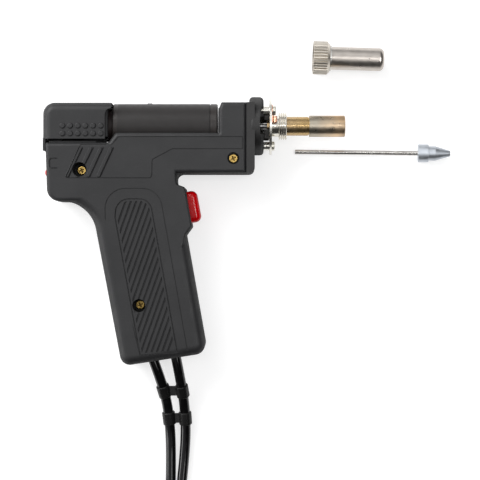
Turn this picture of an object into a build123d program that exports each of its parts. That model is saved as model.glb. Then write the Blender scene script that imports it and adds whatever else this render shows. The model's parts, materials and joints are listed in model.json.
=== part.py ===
from build123d import *
from math import atan, cos, degrees, hypot, pi, radians, sin, tan
import os

os.makedirs("parts", exist_ok=True)

# Millimetres. The gun lies on its side: X runs to the nozzle, Y to the top of the gun, Z up from the bench.
MID = 18.0  # height of the parting plane, and half the width of the housing
WALL = 2.4
BARREL_Y = 46.8  # the axis shared by canister, suction pipe and heater
SLIP = 0.35  # clearance round a moving part

CANISTER_R = 13.4
CANISTER_BACK = -80.5
CANISTER_FRONT = -17.6

SCREW_SHANK_R = 1.4
SCREW_HEAD_R = 2.75
SCREW_HEAD_HEIGHT = 1.9
CROSS_LENGTH, CROSS_WIDTH, CROSS_DEPTH = 3.4, 0.95, 0.9
# x, y, the height of the face under the head, the radius of the recess
HOUSING_SCREWS = [(-99.6, 20.0, 20.0, 4.3), (-64.3, -61.0, 20.0, 3.9), (-8.2, 26.6, 32.0, 3.6)]

NOSE_BORE = 10.0
NOSE_SWEEP = 45.6  # radius of the scoop across the front of the nose ring
FLANGE_SCREW_CIRCLE = 12.0
FLANGE_SCREW_ANGLES = [-90.0, 48.0, 132.0]
PLATE_HOLE_ANGLES = [0.0, 90.0, 180.0, 225.0, 315.0]
THREAD_PITCH = 1.3

# The trigger's own frame: its origin on the grip's front face, U out of the grip, V up along the face.
TRIGGER_X, TRIGGER_Y = -34.9, -2.35
TRIGGER_LEAN = degrees(atan(0.18 / 0.983))
TRIGGER_HALF_HEIGHT = 9.6
TRIGGER_HALF_WIDTH = 5.5
TRIGGER_OUT = 6.3

# The two loose groups that lie beside the gun. The pipe lies level on its heavy nut.
NUT_R = 10.1
NUT_LENGTH = 10.1
PIPE_R = 7.0
PIPE_BORE = 6.6
PIPE_LENGTH = 43.2
NOZZLE_TUBE_R = 1.5
NOZZLE_COLLAR_R = 5.5
NOZZLE_COLLAR_AT = 75.3
NOZZLE_TILT = degrees(atan((NOZZLE_COLLAR_R - NOZZLE_TUBE_R) / NOZZLE_COLLAR_AT))

CORD_R = 3.15
COIL_INNER = 35.0  # radius of the inner layer of turns, at the middle of the cord
COIL_OUTER = 41.5
COIL_HEIGHT = 19.2
POWER_COIL = (-89.0, -215.0)
HOSE_COIL = (3.2, -215.0)
POWER_ROUTE = [
    (-59.4, -87.2, 18.0),
    (-53.6, -102.6, 16.2),
    (-48.9, -119.5, 8.6),
    (-46.9, -137.0, 4.8),
    (-46.5, -155.0, 3.2),
    (-47.0, -186.0, 3.2),
    (-47.5, -215.0, 3.2),
]
HOSE_ROUTE = [
    (-44.3, -86.4, 18.0),
    (-41.1, -102.6, 16.2),
    (-38.4, -119.5, 8.6),
    (-37.3, -137.0, 4.8),
    (-38.3, -155.0, 3.2),
    (-40.4, -175.0, 3.2),
    (-39.5, -195.0, 3.2),
    (-38.3, -214.8, 3.2),
]
# The end of a cord inside its coil, from the coil's centre, for a coil that turns clockwise. It comes up to
# the axis of the piece on its end: the last number is the share of that rise.
TAIL_ROUTE = [
    (35.0, 8.3, 0.0),
    (35.0, -8.3, 0.0),
    (23.3, -20.0, 0.05),
    (6.7, -20.0, 0.4),
    (-5.0, -8.3, 1.0),
    (-5.0, 8.3, 1.0),
]
PLUG_R = 7.1
FITTING_R = 6.0
CLIP_PLACES = [(-113.8, 3.9), (-130.9, 3.9)]  # y of the middle, half the length

# Corners of the housing's outline: x, y, radius of the corner.
BODY_OUTLINE = [
    (-120.0, 36.0, 1.0),
    (-82.4, 36.0, 2.0),
    (-78.3, 41.8, 2.0),
    (-16.8, 41.8, 0.4),
    (-16.8, 56.2, 0.8),
    (-15.2, 60.0, 0.8),
    (-0.4, 60.0, 0.4),
    (-0.4, 17.9, 0.4),
    (-42.6, 17.9, 1.0),
    (-46.0, 1.1, 1.0),
    (-118.9, 1.1, 7.5),
]
TRIGGER_BLOCK = [
    (-60.0, 19.5, 0.0),
    (-42.4, 19.5, 0.0),
    (-42.0, 11.2, 2.2),
    (-36.9, 9.4, 1.8),
    (-32.9, -14.0, 1.4),
    (-36.5, -19.0, 2.0),
    (-38.0, -26.0, 0.0),
    (-60.0, -26.0, 0.0),
]
GRIP_OUTLINE = [
    (-46.0, 18.0, 0.0),
    (-36.5, -19.0, 0.0),
    (-24.0, -89.5, 6.4),
    (-74.7, -97.4, 6.0),
    (-93.4, 1.1, 20.5),
    (-113.0, 1.1, 0.0),
    (-113.0, 8.0, 0.0),
    (-60.0, 18.0, 0.0),
]
SIDE_PANEL = [
    (-107.8, 14.9, 0.6),
    (-56.6, 14.9, 2.0),
    (-56.4, 25.8, 2.0),
    (-44.4, 32.2, 2.0),
    (-2.6, 32.2, 0.6),
    (-2.6, 39.4, 0.6),
    (-76.4, 39.4, 2.0),
    (-80.6, 34.6, 2.0),
    (-99.0, 34.6, 1.0),
]
# The arch round the grip's ribs, which runs out on the grip's rear edge, and the ribbed field inside it.
GRIP_ARCH = [
    (-84.2, -9.0, 0.0),
    (-84.6, 8.6, 12.0),
    (-52.3, 8.6, 12.0),
    (-35.3, -88.4, 0.8),
    (-63.5, -90.5, 0.8),
]
ARCH_RUNOUT = [
    (-100.0, -10.0, 0.0),
    (-80.5, -10.0, 0.0),
    (-64.4, -90.1, 0.0),
    (-64.0, -95.0, 0.0),
    (-100.0, -95.0, 0.0),
]
RIB_PANEL = [
    (-78.4, -8.5, 4.0),
    (-77.6, 2.4, 8.0),
    (-57.7, 2.4, 7.5),
    (-41.4, -88.9, 0.4),
    (-63.5, -90.5, 0.4),
]
RIB_ENDS = 1.3  # from the field's outline to the ends of the grooves between the ribs
RIB_GROOVES = 19
FIRST_GROOVE = (-76.5, -11.4)
NEXT_GROOVE = (1.068, -5.86)
GROOVE_ANGLE = 70.5
VENTS = [(-99.0, -107.4), (-92.7, -101.4), (-86.8, -94.9), (-80.7, -88.8)]  # x of top and bottom
VENT_BOTTOM, VENT_TOP = 15.4, 33.0
VENT_GROOVE_SHIFT = 1.45  # from a raised bar to the groove beside it
THUMB_MARK = [(-117.3, 20.7, 1.5), (-106.0, 20.7, 0.0), (-106.0, 26.5, 0.0), (-117.3, 26.5, 1.5)]


# --- shapes shared by several parts ---

BASE_DOWN = (Align.CENTER, Align.CENTER, Align.MIN)


def disc(x0, x1, r, y=BARREL_Y, z=MID):
    """A solid cylinder along X."""
    base = Pos(x0, y, z) * Rot(0, 90, 0)
    return base * Cylinder(r, x1 - x0, align=BASE_DOWN)


def ring(x0, x1, r_out, r_in, y=BARREL_Y, z=MID):
    """A cylinder along X with a hole through it."""
    return disc(x0, x1, r_out, y, z) - disc(x0 - 1, x1 + 1, r_in, y, z)


def slab(x0, x1, y0, y1, z0, z1):
    """A box from its corners."""
    centre = Pos((x0 + x1) / 2, (y0 + y1) / 2, (z0 + z1) / 2)
    return centre * Box(x1 - x0, y1 - y0, z1 - z0)


def post(x, y, z0, z1, r):
    """A solid cylinder along Z."""
    return Pos(x, y, z0) * Cylinder(r, z1 - z0, align=BASE_DOWN)


def rod(x0, x1, r, y=0.0, z=0.0):
    """A solid cylinder along X, for pieces that are made at the origin and moved into place."""
    return disc(x0, x1, r, y, z)


def outline(corners):
    """A face with rounded corners."""
    points = [(x, y) for x, y, _ in corners]
    radii = [r for _, _, r in corners]
    return make_face(FilletPolyline(*points, radius=radii, close=True))


def tube_along(points, r, corner_share=0.45):
    """A round bar along straight runs that are joined by tangent arcs."""
    vectors = [Vector(*p) for p in points]
    radii = []
    for a, b, c in zip(vectors, vectors[1:], vectors[2:]):
        turn = radians((b - a).get_angle(c - b))
        radii.append(corner_share * min((b - a).length, (c - b).length) / tan(turn / 2))
    path = FilletPolyline(*vectors, radius=radii)
    start = Plane(origin=path @ 0, z_dir=path % 0)
    return sweep(start * Circle(r), path=path), path.length, min(radii)


def helix_bar(x0, x1, radius, wire, turns, y, z):
    """A coil spring along X."""
    length = x1 - x0 - 2 * wire
    path = Helix(pitch=length / turns, height=length, radius=radius)
    bar = sweep(Plane(origin=path @ 0, z_dir=path % 0) * Circle(wire), path=path)
    return Pos(x0 + wire, y, z) * Rot(0, 90, 0) * bar


def in_trigger(shape):
    """Moves a shape from the trigger's frame to the gun."""
    return Pos(TRIGGER_X, TRIGGER_Y, MID) * Rot(0, 0, TRIGGER_LEAN) * shape


def trigger_box(u0, u1, v0, v1, half_width):
    return slab(u0, u1, v0, v1, -half_width, half_width)


def on_pipe(shape):
    """Moves a shape made along X to where the enclosure pipe lies on the bench."""
    return Pos(40.3, 89.2, NUT_R) * Rot(0, 0, -1.7) * shape


def on_nozzle(shape):
    """Moves a shape made along X to where the nozzle lies on the bench."""
    height = NOZZLE_TUBE_R * cos(radians(NOZZLE_TILT))
    return Pos(29.6, 32.2, height) * Rot(0, 0, -0.8) * Rot(0, -NOZZLE_TILT, 0) * shape


# --- housing ---


def outer_block():
    """One half of the gun's body above the parting plane, with rounded outer edges."""
    block = Part()
    for corners, edge in ((BODY_OUTLINE, 2.2), (TRIGGER_BLOCK, 1.2), (GRIP_OUTLINE, 5.6)):
        solid = Pos(0, 0, MID) * extrude(outline(corners), MID)
        rim = solid.faces().sort_by(Axis.Z)[-1].edges()
        if corners is not BODY_OUTLINE:
            rim = rim.filter_by(lambda e: not buried(e.center()))
        block = block + fillet(rim, edge)
    return block


def buried(point):
    """Whether a point of the grip's or the trigger block's rim is inside the body above it."""
    inside_body = point.Y > 1.2 and point.X < -43
    return inside_body or (point.X < -37 and -27 < point.Y < 5 and point.X > -62) or point.Y > 18


def inner_block():
    """The space inside one half, a wall's thickness in from the outside."""
    block = Part()
    for corners in (BODY_OUTLINE, TRIGGER_BLOCK, GRIP_OUTLINE):
        face = offset(outline(corners), amount=-WALL)
        block = block + Pos(0, 0, MID) * extrude(face, MID - WALL)
    return block


def shell_half(top):
    block = outer_block()
    hollow = inner_block()
    keep = disc(-84, -14, 16.2)
    keep = keep + slab(-16.8, 0, 31, 62, MID, 2 * MID) + slab(-121, -105, 33.6, 37, MID, 2 * MID)
    hollow = hollow - keep
    hollow = hollow - slab(-116.6, -112.4, 30.0, 40, MID, MID + 5)
    half = block - hollow
    half = half + slab(-118.0, -90.0, 35.5, 37.1, 30.4, 31.8)
    half = half + finger_corner()
    for x, y, seat, recess in HOUSING_SCREWS:
        half = half + post(x, y, MID, seat + 2, recess + 1.4)
        half = half + post(x, y, seat, 2 * MID - 1.2, recess + 1.4)
    if not top:
        half = mirror(half, Plane.XY.offset(MID))
    return half


def finger_corner():
    """The rounded corner between the barrel and the trigger block."""
    return slab(-42.6, -38.3, 13.9, 18.6, MID, MID + 15.4) - post(-38.3, 13.9, 0, 2 * MID, 4.0)


def shared_openings():
    """Everything that is cut out of both shell halves."""
    cut = disc(-84, -16.8, CANISTER_R + 0.4)
    cut = cut + disc(-16.9, -14.2, 11.0)
    cut = cut + disc(-14.3, -11.0, 2.0)
    cut = cut + disc(-11.0, 0.1, 9.0)
    cut = cut + slab(-11.0, -2.8, 30.0, 46, 9, 27)
    cut = cut + slab(-107.6, -87.4, 29.0, 37, 14.6, 21.4)
    cut = cut + slab(-117.0, -112.0, 30.0, 37, 13, 23)
    cut = cut + disc(-121, -117, 2.3, 18.7, MID)
    slot_height = TRIGGER_HALF_HEIGHT + SLIP
    slot = trigger_box(-9.0, 3.0, -slot_height, slot_height, TRIGGER_HALF_WIDTH + SLIP)
    cut = cut + in_trigger(slot)
    for near, far in (
        ((-59.4, -87.2), (-55.4, -98.0)),
        ((-44.3, -86.4), (-42.0, -98.0)),
    ):
        angle = degrees(atan((far[0] - near[0]) / (near[1] - far[1])))
        cut = cut + Pos(near[0], near[1], MID) * Rot(0, 0, angle) * Rot(90, 0, 0) * Cylinder(4.6, 26)
    return cut


def vent_bar(top_x, bottom_x, width, z, height):
    """One of the slanted bars on the side."""
    run = top_x - bottom_x, VENT_TOP - VENT_BOTTOM
    middle = Pos((top_x + bottom_x) / 2, (VENT_TOP + VENT_BOTTOM) / 2, z)
    lean = Rot(0, 0, degrees(atan(run[1] / run[0])))
    return middle * lean * extrude(SlotOverall(hypot(*run), width), height)


def line_on_side(corners, depth, half_width=0.25):
    """A groove round an outline in the side of the upper shell."""
    face = outline(corners)
    line = offset(face, amount=half_width) - offset(face, amount=-half_width)
    return Pos(0, 0, 2 * MID - depth) * extrude(line, 2)


def surface_marks():
    """Grooves that both sides of the housing have."""
    runout = Pos(0, 0, MID) * extrude(outline(ARCH_RUNOUT), 2 * MID)
    field = Pos(0, 0, 2 * MID - 1.0) * extrude(offset(outline(RIB_PANEL), amount=-RIB_ENDS), 2)
    bars = []
    for n in range(RIB_GROOVES):
        start = Pos(FIRST_GROOVE[0] + n * NEXT_GROOVE[0], FIRST_GROOVE[1] + n * NEXT_GROOVE[1], 2 * MID)
        bars.append(start * Rot(0, 0, GROOVE_ANGLE) * Pos(20, 0, 0) * Box(60, 1.2, 3))
    return [
        line_on_side(SIDE_PANEL, 0.6),
        line_on_side(GRIP_ARCH, 0.5) - runout,
        line_on_side(RIB_PANEL, 0.8, 0.35),
        line_on_side(THUMB_MARK, 0.8, 0.4) & slab(-120, -112.8, 19, 28, MID, 2 * MID + 1),
        field & (Part() + bars),
    ]


def housing_shells():
    cut = shared_openings()
    top = shell_half(True) - cut
    bottom = shell_half(False) - cut
    for x, y, seat, recess in HOUSING_SCREWS:
        top = top - post(x, y, seat, 2 * MID + 1, recess)
        top = top - post(x, y, MID - 1, seat + 1, SCREW_SHANK_R)
        bottom = bottom - post(x, y, 6, MID + 1, SCREW_SHANK_R)
    for top_x, bottom_x in VENTS:
        bar = vent_bar(top_x, bottom_x, 2.2, 2 * MID - 0.5, 1.1)
        top = top + fillet(bar.edges().sort_by(Axis.Z)[-4:], 0.4)
        top = top - Pos(VENT_GROOVE_SHIFT, 0, 0) * vent_bar(top_x, bottom_x, 0.8, 2 * MID - 1.0, 2.0)
        bottom = bottom - vent_bar(top_x, bottom_x, 1.9, -0.1, 1.2)
    for x, y, seat, recess in HOUSING_SCREWS:
        top = top - post(x, y, seat, 2 * MID + 1, recess)
    for marks in surface_marks():
        top = top - marks
        bottom = bottom - mirror(marks, Plane.XY.offset(MID))
    return top, bottom


def cross_head(x, y, z, r, height):
    """A round screw head with a cross recess, its face up."""
    head = post(x, y, z, z + height, r)
    head = fillet(head.edges().sort_by(Axis.Z)[-1], 0.5)
    cross = Box(CROSS_LENGTH, CROSS_WIDTH, 2 * CROSS_DEPTH) + Box(CROSS_WIDTH, CROSS_LENGTH, 2 * CROSS_DEPTH)
    return head - Pos(x, y, z + height) * Rot(0, 0, 25) * cross


def housing_screws():
    screws = []
    for x, y, seat, _ in HOUSING_SCREWS:
        head = cross_head(x, y, seat, SCREW_HEAD_R, SCREW_HEAD_HEIGHT)
        screws.append(head + post(x, y, 7, seat + 0.1, SCREW_SHANK_R))
    return Compound(screws)


# --- nose and heater ---


def nose_flange():
    skirt = slab(-0.4, 4.6, 18.0, 60.0, 0.7, 35.3)
    corners = skirt.edges().filter_by(Axis.Z).group_by(Axis.Y)[0].sort_by(Axis.X)[-1:]
    skirt = fillet(corners, 3.4)
    rim = fillet(disc(1.4, 10.0, 17.6).edges(), 2.2)
    nose = skirt + rim
    nose = nose - disc(-1.0, 11.0, NOSE_BORE)
    for z in (26.5, -4.5):
        nose = nose - post(7.6 + NOSE_SWEEP, BARREL_Y, z, z + 14, NOSE_SWEEP)
    nose = nose - slab(8.4, 11.0, 62.0, 66.0, 14, 22)
    for y, z in flange_places():
        nose = nose - disc(4.0, 11.0, SCREW_SHANK_R, y, z)
    return nose


def flange_places():
    places = []
    for angle in FLANGE_SCREW_ANGLES:
        a = radians(angle)
        places.append((BARREL_Y + FLANGE_SCREW_CIRCLE * sin(a), MID + FLANGE_SCREW_CIRCLE * cos(a)))
    return places


def heater_standoffs():
    return Compound([ring(10.0, 13.6, 2.5, SCREW_SHANK_R, y, z) for y, z in flange_places()])


def heater_flange():
    plate = ring(13.6, 14.8, 17.5, 5.75)
    for y, z in flange_places():
        plate = plate - disc(13, 15, SCREW_SHANK_R, y, z)
    for angle in PLATE_HOLE_ANGLES:
        a = radians(angle)
        plate = plate - disc(13, 15, 1.6, BARREL_Y + 12 * sin(a), MID + 12 * cos(a))
    return plate


def earth_lug():
    """An eyelet under a flange screw, with a crimp for the earth wire."""
    y, z = flange_places()[1]
    lug = ring(14.8, 15.4, 3.6, SCREW_SHANK_R, y, z) + slab(14.8, 15.4, y - 7.0, y - 2.4, z - 1.6, z + 1.6)
    crimp = Pos(16.6, y - 5.2, z) * Rot(90, 0, 0) * Cylinder(1.5, 3.6)
    return lug + (crimp - Pos(16.6, y - 5.2, z) * Rot(90, 0, 0) * Cylinder(0.8, 4))


def flange_screws():
    screws = []
    lug = flange_places()[1]
    for y, z in flange_places():
        seat = 15.4 if (y, z) == lug else 14.8
        end = seat + SCREW_HEAD_HEIGHT
        head = fillet(disc(seat, end, SCREW_HEAD_R, y, z).edges().sort_by(Axis.X)[-1], 0.5)
        cross = Pos(end, y, z) * (Box(1.4, 2.6, 0.7) + Box(1.4, 0.7, 2.6))
        screws.append((head - cross) + disc(4.6, seat + 0.1, SCREW_SHANK_R, y, z))
    return Compound(screws)


def thread_collar():
    collar = disc(14.8, 19.2, 6.4) + disc(19.2, 23.8, 7.5)
    for n in range(4):
        thread = disc(19.2 + n * THREAD_PITCH, 19.9 + n * THREAD_PITCH, 8.4)
        collar = collar + chamfer(thread.edges(), 0.25)
    return collar - disc(14, 25, 5.75)


def heater_barrel():
    barrel = disc(12.0, 37.6, 5.75)
    barrel = barrel - ring(36.8, 37.4, 7.0, 5.3)
    return barrel - disc(11, 38, 4.6)


def heater_sleeve():
    sleeve = chamfer(disc(37.6, 59.2, 6.5).edges().sort_by(Axis.X)[-1], 0.4)
    sleeve = sleeve - disc(37, 53, 4.6)
    return sleeve - disc(52.0, 60.0, 5.62)


def heater_core():
    return ring(12.0, 52.0, 4.6, 1.7)


def suction_pipe():
    return ring(-17.0, 12.0, 2.0, 1.3)


def front_seal():
    return ring(-17.2, -14.2, 11.0, 2.0)


def heater_leads():
    """Four leads out of the nose, each with its connector behind the plate."""
    leads = []
    for side in (-1, 1):
        for y, block_y, half, near in ((43.0, 41.5, 2.9, 5.9), (50.6, 51.4, 1.6, 5.6)):
            z = MID + side * 5.0
            end = MID + side * (near + 1.4)
            lead, _, _ = tube_along([(-1.8, y, z), (4.0, y, z), (10.6, block_y, end)], 1.0)
            block = slab(10.2, 13.4, block_y - half, block_y + half, end - 1.6, end + 1.6)
            leads.append((lead - block) + fillet(block.edges(), 0.4))
    return Compound(leads)


# --- trigger group ---


def trigger_button():
    cap = trigger_box(-4.0, TRIGGER_OUT, -TRIGGER_HALF_HEIGHT, TRIGGER_HALF_HEIGHT, TRIGGER_HALF_WIDTH)
    cap = fillet(cap.edges().filter_by(Axis.Z).group_by(Axis.X)[-1], 3.8)
    sides = cap.faces().sort_by(Axis.Z)
    rims = sides[0].edges() + sides[-1].edges()
    cap = fillet(rims.filter_by(lambda e: e.center().X > -3.9), 3.5)
    flange = trigger_box(-5.4, -2.9, -11.0, 10.2, TRIGGER_HALF_WIDTH + 1.6)
    return in_trigger(cap + flange + rod(-7.8, -5.4, 0.9, 5.0))


def trigger_spring():
    return in_trigger(helix_bar(-12.0, -5.45, 1.7, 0.3, 5, 5.0, 0))


def switch_body():
    body = trigger_box(-26.0, -12.0, -12.0, 8.6, 8.0)
    body = chamfer(body.edges().filter_by(Axis.Z), 0.8)
    body = body - Pos(-12, 0, 0) * trigger_box(-11.0, 1.0, -6.7, -3.3, 1.7)
    for v in (-9, -5, -1):
        body = body + trigger_box(-30.0, -26.0, v - 0.4, v + 0.4, 1.6)
    return in_trigger(body)


def switch_plunger():
    plunger = rod(-19.0, -5.7, 1.2, -5.0)
    return in_trigger(fillet(plunger.edges().sort_by(Axis.X)[-1], 0.4))


# --- rear cover and what slides with it ---


def rear_cover():
    hood = slab(-121.7, -81.0, 38.3, 60.0, 0.6, 35.4)
    front_cut = outline([(-84.6, 30.0, 0.0), (-70.0, 30.0, 0.0), (-70.0, 56.6, 0.0), (-84.6, 56.6, 4.0)])
    hood = hood - extrude(front_cut, 2 * MID)
    hood = fillet(hood.edges().filter_by(Axis.Z).sort_by(lambda e: e.center().X - e.center().Y)[0], 7.0)
    hood = fillet(hood.faces().sort_by(Axis.Y)[-1].edges().filter_by(Axis.X), 5.0)
    inner = slab(-119.6, -70.0, 30.0, 57.9, 2.7, 33.3)
    inner = fillet(inner.edges().filter_by(Axis.Z).sort_by(lambda e: e.center().X - e.center().Y)[0], 5.0)
    inner = fillet(inner.faces().sort_by(Axis.Y)[-1].edges().filter_by(Axis.X), 3.2)
    hood = hood - inner
    tail = slab(-121.7, -120.3, 31.4, 39.0, 3.0, 33.0)
    hood = hood + tail
    bump = Cylinder(1.75, 1.4)
    bump = fillet(bump.edges().sort_by(Axis.Z)[-1], 0.65)
    bumps = []
    for row in (46.0, 41.4):
        for n in range(6):
            x = -109.8 + 4.55 * n
            bumps.append(Pos(x, row, 35.4) * bump)
            bumps.append(Pos(x, row, 0.9) * Rot(180, 0, 0) * bump)
    return hood + bumps


def rear_carriage():
    plate = slab(-86.0, -83.2, 39.6, 57.9, 2.7, 33.3)
    plate = fillet(plate.edges().filter_by(Axis.X).group_by(Axis.Y)[-1], 3.2)
    web = slab(-98.0, -85.0, 36.4, 46.0, 15.0, 21.0) + slab(-98.0, -88.0, 33.0, 36.5, 15.0, 21.0)
    foot = slab(-98.0, -88.0, 29.8, 33.2, 10.0, 26.0)
    stem = disc(-102.0, -83.2, 4.0)
    return (plate + web + foot + stem) - disc(-103.0, -83.0, 2.85)


def rear_seal():
    return ring(-83.2, -80.9, 10.2, 2.85)


def release_spring():
    return helix_bar(-112.0, -86.0, 2.4, 0.4, 9, 54.0, MID)


def vacuum_elbow():
    block = slab(-117.0, -112.0, 30.0, 57.0, 13.2, 22.8)
    block = block + disc(-112.5, -92.0, 2.5)
    block = block - disc(-114.5, -91.0, 1.5)
    drop = Pos(-114.5, 28.0, MID) * Rot(-90, 0, 0)
    bore = drop * Cylinder(1.5, BARREL_Y - 28.0 + 1.5, align=BASE_DOWN)
    nipple = drop * Cylinder(2.0, 4.0, align=BASE_DOWN)
    return (block + nipple) - bore


def led_lens():
    dome = disc(-122.0, -116.6, 2.3, 18.7, MID)
    dome = fillet(dome.edges().sort_by(Axis.X)[0], 1.8)
    return dome


def led_board():
    return slab(-116.6, -115.6, 14.0, 21.4, 10.0, 26.0)


# --- filter ---


def filter_tube():
    tube = ring(-77.5, -22.4, CANISTER_R, 12.0) + ring(-22.4, -21.9, 12.9, 12.0)
    pip = slab(-60.0, -57.2, BARREL_Y + 13.0, BARREL_Y + 13.7, MID - 1.2, MID + 1.2)
    return tube + pip


def filter_front_cap():
    cap = disc(-21.9, CANISTER_FRONT, CANISTER_R) + disc(-24.4, -21.9, 12.0)
    cap = chamfer(cap.edges().sort_by(Axis.X)[-1], 0.6)
    return cap - disc(-25, -17, 2.2)


def filter_rear_cap():
    cap = disc(CANISTER_BACK, -77.5, CANISTER_R) + disc(-77.5, -75.0, 12.0)
    cap = chamfer(cap.edges().sort_by(Axis.X)[0], 0.6)
    return cap - disc(-81, -74, 2.85)


def filter_element():
    return disc(-75.0, -62.0, 11.95)


def solder_baffle():
    plates = slab(-58.0, -27.0, BARREL_Y - 11.6, BARREL_Y + 11.6, MID - 0.3, MID + 0.3)
    plates = plates + slab(-58.0, -27.0, BARREL_Y - 0.3, BARREL_Y + 0.3, MID - 11.6, MID + 11.6)
    return plates + ring(-62.0, -58.0, 11.95, 9.0)


# --- inside the grip ---


def inner_hose():
    route = [
        (-114.4, 27.9, 18.0),
        (-113.9, 24.5, 18.0),
        (-111.6, 17.0, 18.8),
        (-107.0, 8.6, 22.0),
        (-92.0, 6.0, 24.0),
        (-78.0, -14.0, 24.5),
        (-70.0, -36.0, 24.5),
        (-52.0, -56.0, 24.0),
        (-47.6, -72.0, 20.0),
        (-45.7, -80.0, 18.2),
    ]
    hose, _, _ = tube_along(route, 2.4)
    bore, _, _ = tube_along(route, 1.5)
    return hose - bore


def inner_wires():
    wires = []
    for step in (-1, 1):
        route = [
            (-60.4 + step, -79.6, 14.4),
            (-58.0 + step, -74.0, 11.0),
            (-52.5 + step, -56.0, 9.0),
            (-64.0 + step, -26.0, 6.6),
            (-70.0, 6.0 - step * 1.2, 6.6),
            (-52.0, 24.0 - step * 1.2, 6.6),
            (-20.0, 27.0 - step * 1.2, 8.0),
        ]
        wire, _, _ = tube_along(route, 0.8)
        wires.append(wire)
    return Compound(wires)


# --- cords and what is on them ---


def gland(near, far, route):
    angle = degrees(atan((far[0] - near[0]) / (near[1] - far[1])))
    body = Pos(near[0], near[1], MID) * Rot(0, 0, angle) * Rot(90, 0, 0) * Cylinder(4.6, 10)
    cord, _, _ = tube_along(route, CORD_R)
    return body - cord


def cord_tubes(name, route, centre, turn, end_height):
    """The cord from the gun to its coil, and its tail, which starts in the coil."""
    ring_solid = coil(centre)
    lead, lead_length, lead_radius = tube_along(route, CORD_R)
    rise = end_height - route[-1][2]
    tail_route = []
    for x, y, share in TAIL_ROUTE:
        tail_route.append((centre[0] + turn * x, centre[1] + y, route[-1][2] + share * rise))
    tail, tail_length, tail_radius = tube_along(tail_route, CORD_R)
    share = (lead.volume + tail.volume) / (pi * CORD_R**2 * (lead_length + tail_length))
    print(name, "arc radii from", round(lead_radius, 1), round(tail_radius, 1), "volume share", round(share, 4))
    return Compound([lead - ring_solid, tail]), tail


def coil(centre):
    """The outer shape of the cord's turns."""
    x, y = centre
    outer = post(x, y, 0, COIL_HEIGHT, COIL_OUTER + CORD_R)
    return outer - post(x, y, -1, COIL_HEIGHT + 1, COIL_INNER - CORD_R)


def at_tail(centre, turn, height, shape):
    """Moves a shape made along X to the end of a cord's tail."""
    return Pos(centre[0] - turn * 5.0, centre[1] + 2.0, height) * Rot(0, 0, 90) * shape


def plug_body(tail):
    body = disc(0, 8.0, 5.0, 0, 0) + disc(8.0, 22.0, 6.2, 0, 0)
    body = fillet(body.edges().sort_by(Axis.X)[0], 1.2)
    body = body - rod(17.0, 23.0, 5.0)
    return at_tail(POWER_COIL, 1, PLUG_R, body) - tail


def plug_ring():
    nut = ring(12.0, 20.0, PLUG_R, 6.2, 0, 0)
    for n in range(18):
        nut = nut - Rot(20 * n, 0, 0) * slab(11, 21, -0.35, 0.35, 6.8, 7.5)
    return at_tail(POWER_COIL, 1, PLUG_R, nut)


def plug_pins():
    base = disc(17.0, 18.6, 5.0, 0, 0)
    for n in range(5):
        base = base + Rot(45 * n - 90, 0, 0) * disc(18.6, 22.5, 0.5, 0, 3.1)
    return at_tail(POWER_COIL, 1, PLUG_R, base)


def hose_fitting(tail):
    body = disc(0, 9.0, 4.6, 0, 0) + disc(9.0, 12.0, FITTING_R, 0, 0) + disc(12.0, 24.0, 3.0, 0, 0)
    for n in range(3):
        body = body + disc(13.0 + 3.4 * n, 15.0 + 3.4 * n, 3.6, 0, 0)
    body = body - disc(5.0, 25.0, 1.8, 0, 0)
    return at_tail(HOSE_COIL, -1, FITTING_R, body) - tail


def point_at(route, y):
    """Where a cord's straight runs pass a line across the bench."""
    for a, b in zip(route, route[1:]):
        if b[1] <= y <= a[1]:
            share = (y - a[1]) / (b[1] - a[1])
            return [a[k] + share * (b[k] - a[k]) for k in range(3)], [b[k] - a[k] for k in range(3)]


def cord_clip(y, half_length):
    clip = Part()
    places = []
    for route in (POWER_ROUTE, HOSE_ROUTE):
        centre, run = point_at(route, y)
        places.append(centre)
        sleeve = Plane(origin=centre, z_dir=run) * Cylinder(CORD_R + 0.8, 2 * half_length)
        clip = clip + fillet(sleeve.edges(), 0.5)
    left, right = places
    half_web = half_length - 1
    clip = clip + slab(left[0], right[0], y - half_web, y + half_web, left[2] - 1.2, left[2] + 1.2)
    for route in (POWER_ROUTE, HOSE_ROUTE):
        cord, _, _ = tube_along(route, CORD_R)
        clip = clip - cord
    return clip


# --- loose pieces ---


def knurled_nut():
    nut = disc(0, NUT_LENGTH, NUT_R, 0, 0)
    nut = chamfer(nut.edges().sort_by(Axis.X)[-1], 1.6)
    nut = chamfer(nut.edges().sort_by(Axis.X)[0], 0.3)
    grooves = [Rot(10 * n, 0, 0) * Pos(0, 0, NUT_R) * Rot(45, 0, 0) * Box(30, 0.7, 0.7) for n in range(36)]
    nut = nut - grooves
    return on_pipe(nut - disc(-1, 8.0, 8.6, 0, 0) - disc(7, 11, PIPE_R + 0.1, 0, 0))


def enclosure_pipe():
    pipe = disc(1.2, PIPE_LENGTH, PIPE_R, 0, 0)
    pipe = fillet(pipe.edges().sort_by(Axis.X)[-1], 3.0)
    lip = disc(6.6, 7.7, 8.2, 0, 0)
    hollow = disc(0, PIPE_LENGTH - 0.9, PIPE_BORE, 0, 0)
    hollow = fillet(hollow.edges().sort_by(Axis.X)[-1], 2.5)
    return on_pipe(pipe + lip - hollow - disc(0, PIPE_LENGTH + 1, 4.65, 0, 0))


def retaining_ring():
    return on_pipe(ring(10.3, 11.2, 7.7, PIPE_R, 0, 0))


def nozzle_tube():
    return on_nozzle(ring(0, NOZZLE_COLLAR_AT + 1.3, NOZZLE_TUBE_R, 1.1, 0, 0))


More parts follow.
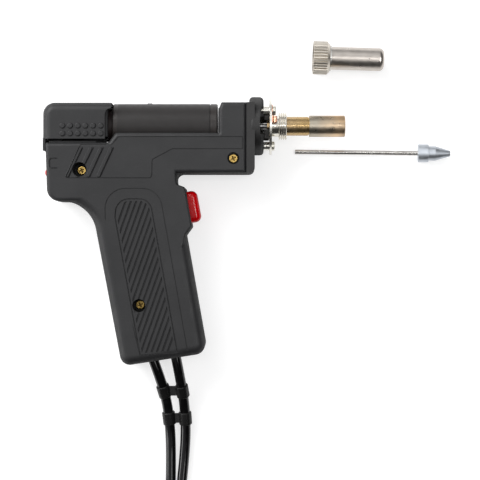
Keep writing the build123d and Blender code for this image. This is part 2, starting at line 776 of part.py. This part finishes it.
def nozzle_tip():
    start, seat = NOZZLE_COLLAR_AT, NOZZLE_COLLAR_AT + 1.3
    collar = chamfer(disc(start, start + 6.4, NOZZLE_COLLAR_R, 0, 0).edges(), 0.2)
    body = disc(start + 6.4, start + 10.6, 4.45, 0, 0)
    cone = Cone(4.45, 1.7, 9.0, align=BASE_DOWN)
    tip = collar + body + Pos(start + 10.6, 0, 0) * Rot(0, 90, 0) * cone
    tip = tip - disc(start - 1, seat, NOZZLE_TUBE_R, 0, 0)
    return on_nozzle(tip - disc(seat - 0.1, start + 20, 0.8, 0, 0))


shell_top, shell_bottom = housing_shells()
power_cord, power_tail = cord_tubes("power cord", POWER_ROUTE, POWER_COIL, 1, PLUG_R)
vacuum_hose, hose_tail = cord_tubes("vacuum hose", HOSE_ROUTE, HOSE_COIL, -1, FITTING_R)

nodes = {
    "shell_top": shell_top,
    "shell_bottom": shell_bottom,
    "housing_screws": housing_screws(),
    "nose_flange": nose_flange(),
    "front_seal": front_seal(),
    "suction_pipe": suction_pipe(),
    "heater_flange": heater_flange(),
    "heater_standoffs": heater_standoffs(),
    "flange_screws": flange_screws(),
    "earth_lug": earth_lug(),
    "thread_collar": thread_collar(),
    "heater_barrel": heater_barrel(),
    "heater_sleeve": heater_sleeve(),
    "heater_core": heater_core(),
    "heater_leads": heater_leads(),
    "trigger_button": trigger_button(),
    "trigger_spring": trigger_spring(),
    "switch_body": switch_body(),
    "switch_plunger": switch_plunger(),
    "rear_cover": rear_cover(),
    "rear_carriage": rear_carriage(),
    "rear_seal": rear_seal(),
    "release_spring": release_spring(),
    "vacuum_elbow": vacuum_elbow(),
    "led_lens": led_lens(),
    "led_board": led_board(),
    "filter_tube": filter_tube(),
    "filter_front_cap": filter_front_cap(),
    "filter_rear_cap": filter_rear_cap(),
    "filter_element": filter_element(),
    "solder_baffle": solder_baffle(),
    "inner_hose": inner_hose(),
    "inner_wires": inner_wires(),
    "power_gland": gland((-59.4, -87.2), (-55.4, -98.0), POWER_ROUTE),
    "hose_gland": gland((-44.3, -86.4), (-42.0, -98.0), HOSE_ROUTE),
    "power_cord": power_cord,
    "power_cord_coil": coil(POWER_COIL),
    "plug_body": plug_body(power_tail),
    "plug_ring": plug_ring(),
    "plug_pins": plug_pins(),
    "vacuum_hose": vacuum_hose,
    "vacuum_hose_coil": coil(HOSE_COIL),
    "hose_fitting": hose_fitting(hose_tail),
    "cord_clip_upper": cord_clip(*CLIP_PLACES[0]),
    "cord_clip_lower": cord_clip(*CLIP_PLACES[1]),
    "knurled_nut": knurled_nut(),
    "enclosure_pipe": enclosure_pipe(),
    "retaining_ring": retaining_ring(),
    "nozzle_tip": nozzle_tip(),
    "nozzle_tube": nozzle_tube(),
}

for name, shape in nodes.items():
    export_step(shape, f"parts/{name}.step")
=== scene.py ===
import json
from math import atan, cos, pi, sin

import bpy
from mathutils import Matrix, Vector


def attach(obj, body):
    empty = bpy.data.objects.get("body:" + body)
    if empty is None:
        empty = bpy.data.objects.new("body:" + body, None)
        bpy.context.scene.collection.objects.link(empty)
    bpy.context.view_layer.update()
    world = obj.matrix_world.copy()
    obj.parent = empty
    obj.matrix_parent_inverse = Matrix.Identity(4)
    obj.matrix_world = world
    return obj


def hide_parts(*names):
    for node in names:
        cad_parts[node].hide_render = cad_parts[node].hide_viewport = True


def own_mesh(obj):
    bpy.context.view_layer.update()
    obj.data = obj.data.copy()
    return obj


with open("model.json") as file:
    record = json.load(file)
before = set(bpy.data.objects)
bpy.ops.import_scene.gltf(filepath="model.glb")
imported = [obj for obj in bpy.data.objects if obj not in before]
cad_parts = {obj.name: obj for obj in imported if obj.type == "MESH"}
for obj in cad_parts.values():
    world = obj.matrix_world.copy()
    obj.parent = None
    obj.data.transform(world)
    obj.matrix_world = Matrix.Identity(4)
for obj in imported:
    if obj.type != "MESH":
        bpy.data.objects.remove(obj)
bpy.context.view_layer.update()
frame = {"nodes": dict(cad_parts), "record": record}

MM = 0.001
MID = 18.0  # height of the parting plane, in millimetres

# --- camera, straight above the gun ---

CAMERA_HEIGHT = 1.0
SENSOR_WIDTH = 36.0  # in millimetres, as Blender has it
VIEW_WIDTH = 0.288
VIEW_PLANE = 0.026  # the height at which the view is that wide
VIEW_CENTRE = (-0.0042, -0.022)


def make_camera():
    data = bpy.data.cameras.new("camera")
    data.sensor_width = SENSOR_WIDTH
    data.lens = SENSOR_WIDTH * (CAMERA_HEIGHT - VIEW_PLANE) / VIEW_WIDTH
    camera = bpy.data.objects.new("camera", data)
    camera.location = (*VIEW_CENTRE, CAMERA_HEIGHT)
    bpy.context.scene.collection.objects.link(camera)
    bpy.context.scene.camera = camera


make_camera()

# --- materials ---

NOISE_LOW, NOISE_HIGH = 0.3, 0.7  # most of a noise's values lie between these


class Look:
    """A procedural material that is built up one layer at a time.

    Its keyword arguments are values for the shader's own sockets.
    """

    def __init__(self, name, colour, roughness, metallic=0.0, **sockets):
        self.material = bpy.data.materials.new(name)
        self.material.use_nodes = True
        self.nodes = self.material.node_tree.nodes
        self.links = self.material.node_tree.links
        self.shader = self.nodes["Principled BSDF"]
        self.shader.inputs["Base Color"].default_value = (*colour, 1.0)
        self.shader.inputs["Roughness"].default_value = roughness
        self.shader.inputs["Metallic"].default_value = metallic
        for socket, value in sockets.items():
            self.shader.inputs[socket.replace("_", " ")].default_value = value
        self.place = self.nodes.new("ShaderNodeTexCoord").outputs["Object"]
        self.normal = None

    def stretched(self, scale):
        """Object coordinates, in metres, times a number per axis."""
        mapping = self.nodes.new("ShaderNodeMapping")
        mapping.inputs["Scale"].default_value = scale
        self.links.new(self.place, mapping.inputs["Vector"])
        return mapping.outputs["Vector"]

    def noise(self, size, detail=4.0, stretch=(1, 1, 1), rough=0.55):
        """Noise whose blobs are about that many millimetres across."""
        node = self.nodes.new("ShaderNodeTexNoise")
        per_metre = 1000.0 / size
        scale = tuple(per_metre * s for s in stretch)
        self.links.new(self.stretched(scale), node.inputs["Vector"])
        node.inputs["Scale"].default_value = 1.0
        node.inputs["Detail"].default_value = detail
        node.inputs["Roughness"].default_value = rough
        return node.outputs["Fac"]

    def geometry(self, output):
        return self.nodes.new("ShaderNodeNewGeometry").outputs[output]

    def mapped(self, value, low, high, to_low, to_high):
        """Brings low to high to another range, and holds it at that range's ends."""
        node = self.nodes.new("ShaderNodeMapRange")
        node.inputs["From Min"].default_value = low
        node.inputs["From Max"].default_value = high
        node.inputs["To Min"].default_value = to_low
        node.inputs["To Max"].default_value = to_high
        self.links.new(value, node.inputs["Value"])
        return node.outputs["Result"]

    def along(self, axis, start, end):
        """Rises from 0 to 1 between two places on an axis of the gun, in millimetres."""
        split = self.nodes.new("ShaderNodeSeparateXYZ")
        self.links.new(self.geometry("Position"), split.inputs["Vector"])
        return self.mapped(split.outputs[axis], start * MM, end * MM, 0.0, 1.0)

    def both(self, a, b):
        """High where both factors are."""
        node = self.nodes.new("ShaderNodeMath")
        node.operation = "MULTIPLY"
        self.links.new(a, node.inputs[0])
        self.links.new(b, node.inputs[1])
        return node.outputs["Value"]

    def tint(self, factor, colour):
        """Mixes a second colour in where factor is high."""
        mix = self.nodes.new("ShaderNodeMix")
        mix.data_type = "RGBA"
        socket = self.shader.inputs["Base Color"]
        if socket.is_linked:
            self.links.new(socket.links[0].from_socket, mix.inputs["A"])
        else:
            mix.inputs["A"].default_value = socket.default_value
        mix.inputs["B"].default_value = (*colour, 1.0)
        self.links.new(factor, mix.inputs["Factor"])
        self.links.new(mix.outputs["Result"], socket)
        return self

    def vary_roughness(self, factor, low, high):
        roughness = self.mapped(factor, NOISE_LOW, NOISE_HIGH, low, high)
        self.links.new(roughness, self.shader.inputs["Roughness"])
        return self

    def rough_walls(self, extra):
        """Roughens steep walls, which the mould leaves coarser than the broad faces."""
        split = self.nodes.new("ShaderNodeSeparateXYZ")
        self.links.new(self.geometry("Normal"), split.inputs["Vector"])
        level = self.nodes.new("ShaderNodeMath")
        level.operation = "ABSOLUTE"
        self.links.new(split.outputs["Z"], level.inputs[0])
        total = self.nodes.new("ShaderNodeMath")
        total.operation = "ADD"
        socket = self.shader.inputs["Roughness"]
        self.links.new(socket.links[0].from_socket, total.inputs[0])
        self.links.new(self.mapped(level.outputs["Value"], 0.1, 0.7, extra, 0.0), total.inputs[1])
        self.links.new(total.outputs["Value"], socket)
        return self

    def bump(self, height, depth, strength=1.0):
        """Bump whose full height is that many millimetres."""
        node = self.nodes.new("ShaderNodeBump")
        node.inputs["Distance"].default_value = depth * MM
        node.inputs["Strength"].default_value = strength
        self.links.new(height, node.inputs["Height"])
        if self.normal:
            self.links.new(self.normal, node.inputs["Normal"])
        self.normal = node.outputs["Normal"]
        self.links.new(self.normal, self.shader.inputs["Normal"])
        return self

    def scuffs(self, colour, share=0.3):
        """Long faint rub marks."""
        streaks = self.mapped(self.noise(1.4, 4.0, (0.12, 1, 1)), 0.58, 0.72, 0.0, share)
        patches = self.mapped(self.noise(16.0, 3.0), 0.5, 0.65, 0.0, 1.0)
        return self.tint(self.both(streaks, patches), colour)


def moulded_plastic(name, colour, roughness=0.46, grain=0.35):
    """Satin injection-moulded plastic with a fine spark-eroded grain."""
    look = Look(name, colour, roughness, Specular_IOR_Level=0.3)
    lighter = tuple(1.35 * c + 0.004 for c in colour)
    look.tint(look.mapped(look.noise(22.0, 3.0), 0.35, 0.7, 0.0, 0.5), lighter)
    look.tint(look.mapped(look.noise(0.9, 2.0), 0.55, 0.75, 0.0, 0.35), lighter)
    look.vary_roughness(look.noise(9.0, 5.0), roughness - 0.06, roughness + 0.08)
    look.rough_walls(0.4)
    look.bump(look.noise(grain, 3.0), 0.035)
    look.bump(look.noise(26.0, 2.0), 0.10, 0.5)
    return look.scuffs(tuple(1.8 * c + 0.006 for c in colour))


def gloss_plastic(name, colour, roughness=0.16, coat=0.4):
    """Smooth plastic with a faint cloudiness and a slight waviness."""
    look = Look(
        name, colour, roughness, Coat_Weight=coat, Coat_Roughness=0.06, Specular_IOR_Level=0.2
    )
    darker = tuple(0.6 * c for c in colour)
    look.tint(look.mapped(look.noise(7.0), 0.4, 0.7, 0.0, 0.25), darker)
    look.vary_roughness(look.noise(3.0, 6.0), roughness - 0.04, roughness + 0.1)
    look.bump(look.noise(6.0, 2.0), 0.008)
    return look


def rubber(name, colour, roughness=0.3, coat=0.0):
    """Rubber or soft PVC with paler handled patches."""
    look = Look(
        name, colour, roughness, Coat_Weight=coat, Coat_Roughness=0.08, Specular_IOR_Level=0.3
    )
    paler = tuple(1.8 * c + 0.006 for c in colour)
    look.tint(look.mapped(look.noise(5.0, 5.0), 0.5, 0.8, 0.0, 0.5), paler)
    look.vary_roughness(look.noise(4.0, 6.0), roughness - 0.07, roughness + 0.12)
    look.bump(look.noise(0.5, 3.0), 0.012)
    look.bump(look.noise(5.0, 2.0), 0.05, 0.6)
    return look


def turned_metal(name, colour, roughness, stain, stain_share=0.4, stretch=(5, 0.2, 0.2)):
    """Metal with a patchy stain and fine turning marks, round the X axis unless told otherwise."""
    look = Look(name, colour, roughness, metallic=1.0)
    look.tint(look.mapped(look.noise(6.0, 2.5), 0.42, 0.7, 0.0, stain_share), stain)
    look.vary_roughness(look.noise(3.5, 2.5), roughness - 0.04, roughness + 0.08)
    look.bump(look.noise(1.6, 4.0, stretch), 0.0004)
    return look


def plain_metal(name, colour, roughness, stain):
    """Metal with a patchy stain, and painted shade that darkens its concave corners and recesses.
    """
    look = Look(name, colour, roughness, metallic=1.0)
    look.tint(look.mapped(look.noise(3.0, 6.0), 0.5, 0.8, 0.0, 0.5), stain)
    # Painted shade: concave places such as corners and screw recesses are darkened in the colour,
    # by pointiness.
    painted_corner_shade = look.mapped(look.geometry("Pointiness"), 0.5, 0.44, 0.0, 0.9)
    look.tint(painted_corner_shade, tuple(0.3 * c for c in stain))
    look.vary_roughness(look.noise(1.5, 6.0), roughness - 0.06, roughness + 0.14)
    look.bump(look.noise(0.6, 4.0), 0.003)
    return look


def heater_brass():
    """Brass that the heat has turned darker towards the hot end."""
    look = turned_metal("brass", (0.48, 0.35, 0.20), 0.26, (0.32, 0.21, 0.10))
    look.tint(look.both(look.along("X", 22, 37), look.noise(4.0, 5.0)), (0.50, 0.32, 0.10))
    return look


def heater_nickel():
    """Nickel plate that has taken a straw tint from the heat, darker at its end."""
    look = turned_metal("nickel_brass", (0.43, 0.385, 0.31), 0.3, (0.30, 0.25, 0.195), 0.5)
    patches = look.mapped(look.noise(7.0, 6.0), 0.3, 0.6, 0.3, 1.0)
    look.tint(look.both(look.along("X", 42, 54), patches), (0.66, 0.47, 0.29))
    look.tint(look.both(look.along("X", 55, 59.5), look.noise(2.0, 6.0)), (0.22, 0.15, 0.10))
    return look


def fibre(name, colour):
    """Matt fibre, with the shade between its strands."""
    look = Look(name, colour, 0.9, Sheen_Weight=0.3)
    shade = tuple(0.7 * c for c in colour)
    look.tint(look.mapped(look.noise(1.2, 8.0), 0.4, 0.7, 0.0, 0.6), shade)
    look.bump(look.noise(0.6, 8.0, (1, 1, 5)), 0.15)
    return look


LOOKS = {
    "housing": moulded_plastic("housing", (0.0150, 0.0150, 0.0158)),
    "nose": moulded_plastic("nose", (0.0155, 0.0151, 0.0151), 0.42),
    "inner_plastic": moulded_plastic("inner_plastic", (0.014, 0.014, 0.015), 0.5),
    "connector": moulded_plastic("connector", (0.014, 0.013, 0.012), 0.4, 0.2),
    "clip": moulded_plastic("clip", (0.006, 0.0058, 0.0058), 0.25, 0.2),
    "trigger": gloss_plastic("trigger", (0.60, 0.0015, 0.004), 0.10, 0.2),
    "led": gloss_plastic("led", (0.42, 0.015, 0.012), 0.1, 0.2),
    "board": gloss_plastic("board", (0.02, 0.14, 0.05), 0.3),
    "seal": rubber("seal", (0.02, 0.013, 0.012), 0.5),
    "gland": rubber("gland", (0.015, 0.015, 0.015), 0.45),
    "cord": rubber("cord", (0.0020, 0.0020, 0.0022), 0.10, 0.3),
    "hose": rubber("hose", (0.0020, 0.0018, 0.0020), 0.10, 0.3),
    "wire": rubber("wire", (0.3, 0.02, 0.015), 0.35),
    "canister": gloss_plastic("canister", (0.0205, 0.0188, 0.0184), 0.42, 0.0),
    "canister_cap": rubber("canister_cap", (0.02, 0.017, 0.016), 0.35),
    "cotton": fibre("cotton", (0.75, 0.73, 0.68)),
    "brass": heater_brass(),
    "brass_screw": plain_metal("brass_screw", (0.38, 0.26, 0.08), 0.24, (0.10, 0.055, 0.015)),
    "copper": plain_metal("copper", (0.82, 0.47, 0.33), 0.28, (0.35, 0.14, 0.08)),
    "steel": turned_metal("steel", (0.6, 0.6, 0.59), 0.3, (0.35, 0.34, 0.32)),
    "bright_steel": plain_metal("bright_steel", (0.78, 0.76, 0.70), 0.25, (0.45, 0.41, 0.34)),
    "screw_steel": plain_metal("screw_steel", (0.72, 0.70, 0.62), 0.28, (0.36, 0.32, 0.2)),
    "spring": plain_metal("spring", (0.62, 0.61, 0.58), 0.3, (0.3, 0.28, 0.25)),
    "nickel": turned_metal("nickel", (0.80, 0.77, 0.70), 0.2, (0.50, 0.44, 0.34)),
    "nickel_brass": heater_nickel(),
    "satin_nickel": turned_metal("satin_nickel", (0.56, 0.52, 0.46), 0.32, (0.40, 0.36, 0.30)),
    "satin_nickel_pipe": turned_metal(
        "satin_nickel_pipe", (0.52, 0.48, 0.44), 0.3, (0.42, 0.38, 0.34)
    ),
    "nozzle_metal": turned_metal("nozzle_metal", (0.50, 0.53, 0.57), 0.42, (0.36, 0.38, 0.41)),
    "nozzle_steel": turned_metal("nozzle_steel", (0.62, 0.60, 0.57), 0.22, (0.36, 0.33, 0.30)),
    "plug_metal": turned_metal(
        "plug_metal", (0.62, 0.62, 0.61), 0.28, (0.4, 0.4, 0.38), stretch=(0.2, 5, 0.2)
    ),
    "ceramic": fibre("ceramic", (0.78, 0.75, 0.68)),
}

SLOT_OF = {part["node"]: part["material_slot"] for part in frame["record"]["subparts"]}


def dress_cad_nodes():
    """Every CAD node gets the look of its slot."""
    for node, obj in frame["nodes"].items():
        obj.data.materials.clear()
        obj.data.materials.append(LOOKS[SLOT_OF[node]].material)


dress_cad_nodes()

# --- making pieces ---


def add_piece(name, mesh, body, slot, nodes=()):
    obj = bpy.data.objects.new(name, mesh)
    bpy.context.scene.collection.objects.link(obj)
    mesh.materials.append(LOOKS[slot].material)
    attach(obj, body)
    if nodes:
        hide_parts(*nodes)
    return obj


def tube_mesh(name, points, sides, reverse, smooth_ends):
    """A closed tube through rings of points. reverse is for rings that run the other way round."""
    steps = len(points) // sides - 1
    faces = []
    for i in range(steps):
        for j in range(sides):
            a, b = i * sides + j, i * sides + (j + 1) % sides
            if reverse:
                faces.append((a, a + sides, b + sides, b))
            else:
                faces.append((a, b, b + sides, a + sides))
    first = tuple(range(sides))
    last = tuple(steps * sides + j for j in range(sides))
    faces += [first, last[::-1]] if reverse else [first[::-1], last]
    mesh = bpy.data.meshes.new(name)
    mesh.from_pydata(points, [], faces)
    smooth = [True] * steps * sides + [smooth_ends] * 2
    mesh.polygons.foreach_set("use_smooth", smooth)
    return mesh


def lead_sleeve(name, start, end, radius, sag, look):
    """A braided sleeve round a heater lead, between two points in millimetres.

    It is a little slack, and frayed at its ends.
    """
    steps, sides = 20, 24
    points = []
    for i in range(steps + 1):
        t = i / steps
        centre = Vector(start).lerp(Vector(end), t) + Vector((0, sag * sin(pi * t), 0))
        flare = 1 + 0.10 * (2 * t - 1) ** 6 - 0.05 * sin(3 * pi * t)
        for j in range(sides):
            around = 2 * pi * j / sides
            rib = 1 + 0.03 * cos(6 * around + 9 * t)
            across = Vector((0, cos(around), sin(around))) * radius * flare * rib
            points.append((centre + across) * MM)
    mesh = tube_mesh(name, points, sides, reverse=False, smooth_ends=False)
    sleeve = add_piece(name, mesh, "gun", "ceramic")
    sleeve.data.materials[0] = look.material


def coil_spring(name, start, end, radius, wire, turns, body, node):
    """A coil spring between two points in millimetres.

    It rides on the body, in place of the spring's CAD node, which is hidden.
    """
    start, end = Vector(start), Vector(end)
    length = (end - start).length
    axis = (end - start) / length
    side = Vector((0, 0, 1))
    other = axis.cross(side)
    steps, sides = 24 * turns, 8
    points = []
    for i in range(steps + 1):
        turn = 2 * pi * turns * i / steps
        outward = cos(turn) * side + sin(turn) * other
        centre = start + axis * (wire + (length - 2 * wire) * i / steps) + radius * outward
        for j in range(sides):
            around = 2 * pi * j / sides
            points.append((centre + wire * (cos(around) * outward + sin(around) * axis)) * MM)
    mesh = tube_mesh(name, points, sides, reverse=True, smooth_ends=True)
    coil = add_piece(name, mesh, body, "spring", [node])
    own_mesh(coil)


TRIGGER_PLACE = (-34.9, -2.35)  # on the grip's front face, where the trigger comes out
TRIGGER_LEAN = atan(0.18 / 0.983)  # how far the grip leans back


def in_trigger(x, y):
    """A point in the trigger's leaning frame, in the gun's."""
    return (
        TRIGGER_PLACE[0] + x * cos(TRIGGER_LEAN) - y * sin(TRIGGER_LEAN),
        TRIGGER_PLACE[1] + x * sin(TRIGGER_LEAN) + y * cos(TRIGGER_LEAN),
        MID,
    )


SLEEVE_START, SLEEVE_END = 5.0, 12.2  # x inside the nose, and just behind the flange plate
lead_sleeve(
    "lead_sleeve_upper",
    (SLEEVE_START, 50.6, 10.0),
    (SLEEVE_END, 50.9, 11.0),
    radius=1.9,
    sag=0.3,
    look=fibre("sleeving", (0.085, 0.078, 0.05)),
)
lead_sleeve(
    "lead_sleeve_lower",
    (SLEEVE_START, 45.4, 9.0),
    (SLEEVE_END, 45.6, 10.5),
    radius=1.5,
    sag=-0.3,
    look=fibre("pale_sleeving", (0.2, 0.2, 0.19)),
)
coil_spring(
    "trigger_coil",
    in_trigger(-12.0, 5.0),
    in_trigger(-5.45, 5.0),
    radius=1.7,
    wire=0.3,
    turns=5,
    body="trigger",
    node="trigger_spring",
)
coil_spring(
    "release_coil",
    (-112.0, 54.0, MID),
    (-86.0, 54.0, MID),
    radius=2.4,
    wire=0.4,
    turns=9,
    body="rear_slide",
    node="release_spring",
)

# --- cords ---

# Lengths are in millimetres. The routes are the spline's control points.

CORD_R = 3.15
BENCH_Z = 3.2  # height of a cord's middle where it lies on the bench
PLUG_R = 7.1
FITTING_R = 6.0
COIL_INNER = 35.0
COIL_OUTER = 41.5
TURNS_PER_LAYER = 2
POINTS_PER_TURN = 16
TURN_RISE = 6.4  # how much higher each turn lies than the one under it
STEP_IN = 0.2  # the part of a turn over which the winding changes to the inner layer
POWER_COIL = (-89.0, -215.0)
HOSE_COIL = (3.2, -215.0)
POWER_ROUTE = [
    (-59.4, -87.2, 18.0),
    (-53.6, -102.6, 16.2),
    (-48.9, -119.5, 8.6),
    (-46.9, -137.0, 4.8),
    (-46.5, -155.0, 3.2),
    (-47.0, -186.0, 3.2),
]
HOSE_ROUTE = [
    (-44.3, -86.4, 18.0),
    (-41.1, -102.6, 16.2),
    (-38.4, -119.5, 8.6),
    (-37.3, -137.0, 4.8),
    (-38.3, -155.0, 3.2),
    (-40.4, -175.0, 3.2),
    (-39.5, -195.0, 3.2),
]
# from the coil to the plug: x and y from the coil's middle, and the share of the plug's height
TAIL_ROUTE = [
    (35.0, -8.3, 0.0),
    (23.3, -20.0, 0.05),
    (6.7, -20.0, 0.4),
    (-5.0, -8.3, 1.0),
    (-5.0, 8.3, 1.0),
]


def coil_points(centre, turn):
    """The turns of a put-away coil: up the outer layer and down the inner one."""
    points = []
    all_turns = 2 * TURNS_PER_LAYER
    # The spline cuts inside its control points, so they stand a little further out.
    bulge = 1.0 / (0.5 + 0.5 * cos(pi / POINTS_PER_TURN))
    for k in range(all_turns * POINTS_PER_TURN + 1):
        turns = k / POINTS_PER_TURN
        inward = min(1.0, max(0.0, (turns - TURNS_PER_LAYER + STEP_IN / 2) / STEP_IN))
        r = (COIL_OUTER + (COIL_INNER - COIL_OUTER) * inward) * bulge
        lift = TURN_RISE * (turns if turns <= TURNS_PER_LAYER else all_turns - turns)
        angle = 2 * pi * turns
        x = centre[0] + turn * r * cos(angle)
        y = centre[1] - r * sin(angle)
        points.append((x, y, BENCH_Z + lift))
    return points


def make_cord(name, route, centre, turn, end_height, slot, nodes):
    """A cord from the grip to its coil, and out of the coil's middle to its plug or fitting."""
    points = route + coil_points(centre, turn)
    for x, y, share in TAIL_ROUTE:
        height = BENCH_Z + share * (end_height - BENCH_Z)
        points.append((centre[0] + turn * x, centre[1] + y, height))
    curve = bpy.data.curves.new(name, "CURVE")
    curve.dimensions = "3D"
    spline = curve.splines.new("NURBS")
    spline.points.add(len(points) - 1)
    for knot, (x, y, z) in zip(spline.points, points):
        knot.co = (x * MM, y * MM, z * MM, 1.0)
    spline.order_u = 3
    spline.use_endpoint_u = True
    spline.resolution_u = 10
    curve.bevel_depth = CORD_R * MM
    curve.bevel_resolution = 8
    curve.use_fill_caps = True
    curve.materials.append(LOOKS[slot].material)
    obj = bpy.data.objects.new(name, curve)
    bpy.context.scene.collection.objects.link(obj)
    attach(obj, "gun")
    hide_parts(*nodes)
    return obj


power_lead = make_cord(
    "power_lead", POWER_ROUTE, POWER_COIL, 1, PLUG_R, "cord", ["power_cord", "power_cord_coil"]
)
hose_lead = make_cord(
    "hose_lead", HOSE_ROUTE, HOSE_COIL, -1, FITTING_R, "hose", ["vacuum_hose", "vacuum_hose_coil"]
)

# --- studio ---

FLOOR_HALF = 12.0
FLOOR_COLOUR = (0.47, 0.469, 0.469)
FLOOR_STAIN = (0.43, 0.43, 0.431)
FLOOR_GLOW = (1.0, 1.0, 1.0)
SKY_COLOUR = (0.98, 0.985, 1.0)
SKY_BRIGHT_SIDE = (-0.42, 0.52, 0.74)
SKY_RANGE = {"From Min": 0.38, "From Max": 0.95, "To Min": 0.04, "To Max": 0.85}
LIGHTS = [  # name, place, the point it faces, size, watts
    ("key", (-0.8, 0.85, 0.95), (0, 0, 0), (1.3, 0.9), 24.0),
    ("right", (0.5, -0.05, 1.1), (0, 0, 0), (0.8, 0.4), 3.6),
    ("left", (-1.1, -0.1, 0.4), (0, 0, 0), (0.9, 0.35), 5.5),
    ("strip", (0.05, 0.12, 1.2), (0.05, 0.05, 0), (1.2, 0.05), 1.6),
]


def make_floor():
    h = FLOOR_HALF
    mesh = bpy.data.meshes.new("floor")
    mesh.from_pydata([(-h, -h, 0), (h, -h, 0), (h, h, 0), (-h, h, 0)], [], [(0, 1, 2, 3)])
    look = Look("floor", FLOOR_COLOUR, 0.6, Emission_Strength=0.66)
    look.shader.inputs["Emission Color"].default_value = (*FLOOR_GLOW, 1.0)
    look.tint(look.mapped(look.noise(60.0, 3.0), NOISE_LOW, NOISE_HIGH, 0.0, 0.3), FLOOR_STAIN)
    look.bump(look.noise(3.0, 3.0), 0.01)
    mesh.materials.append(look.material)
    floor = bpy.data.objects.new("floor", mesh)
    bpy.context.scene.collection.objects.link(floor)


def make_world():
    """Soft light that is bright at the upper left and falls away towards the gun's grip end."""
    world = bpy.data.worlds.new("world")
    world.use_nodes = True
    tree = world.node_tree
    background = tree.nodes["Background"]
    towards = tree.nodes.new("ShaderNodeVectorMath")
    towards.operation = "DOT_PRODUCT"
    direction = tree.nodes.new("ShaderNodeTexCoord").outputs["Generated"]
    tree.links.new(direction, towards.inputs[0])
    towards.inputs[1].default_value = SKY_BRIGHT_SIDE
    strength = tree.nodes.new("ShaderNodeMapRange")
    for socket, value in SKY_RANGE.items():
        strength.inputs[socket].default_value = value
    tree.links.new(towards.outputs["Value"], strength.inputs["Value"])
    tree.links.new(strength.outputs["Result"], background.inputs["Strength"])
    background.inputs["Color"].default_value = (*SKY_COLOUR, 1.0)
    bpy.context.scene.world = world


def area_light(name, place, aim, size, power):
    data = bpy.data.lights.new(name, "AREA")
    data.shape = "RECTANGLE"
    data.size, data.size_y = size
    data.energy = power
    obj = bpy.data.objects.new(name, data)
    obj.location = place
    obj.rotation_euler = (Vector(aim) - Vector(place)).to_track_quat("-Z", "Y").to_euler()
    bpy.context.scene.collection.objects.link(obj)


make_floor()
make_world()
for light in LIGHTS:
    area_light(*light)
bpy.context.scene.view_settings.view_transform = "Standard"
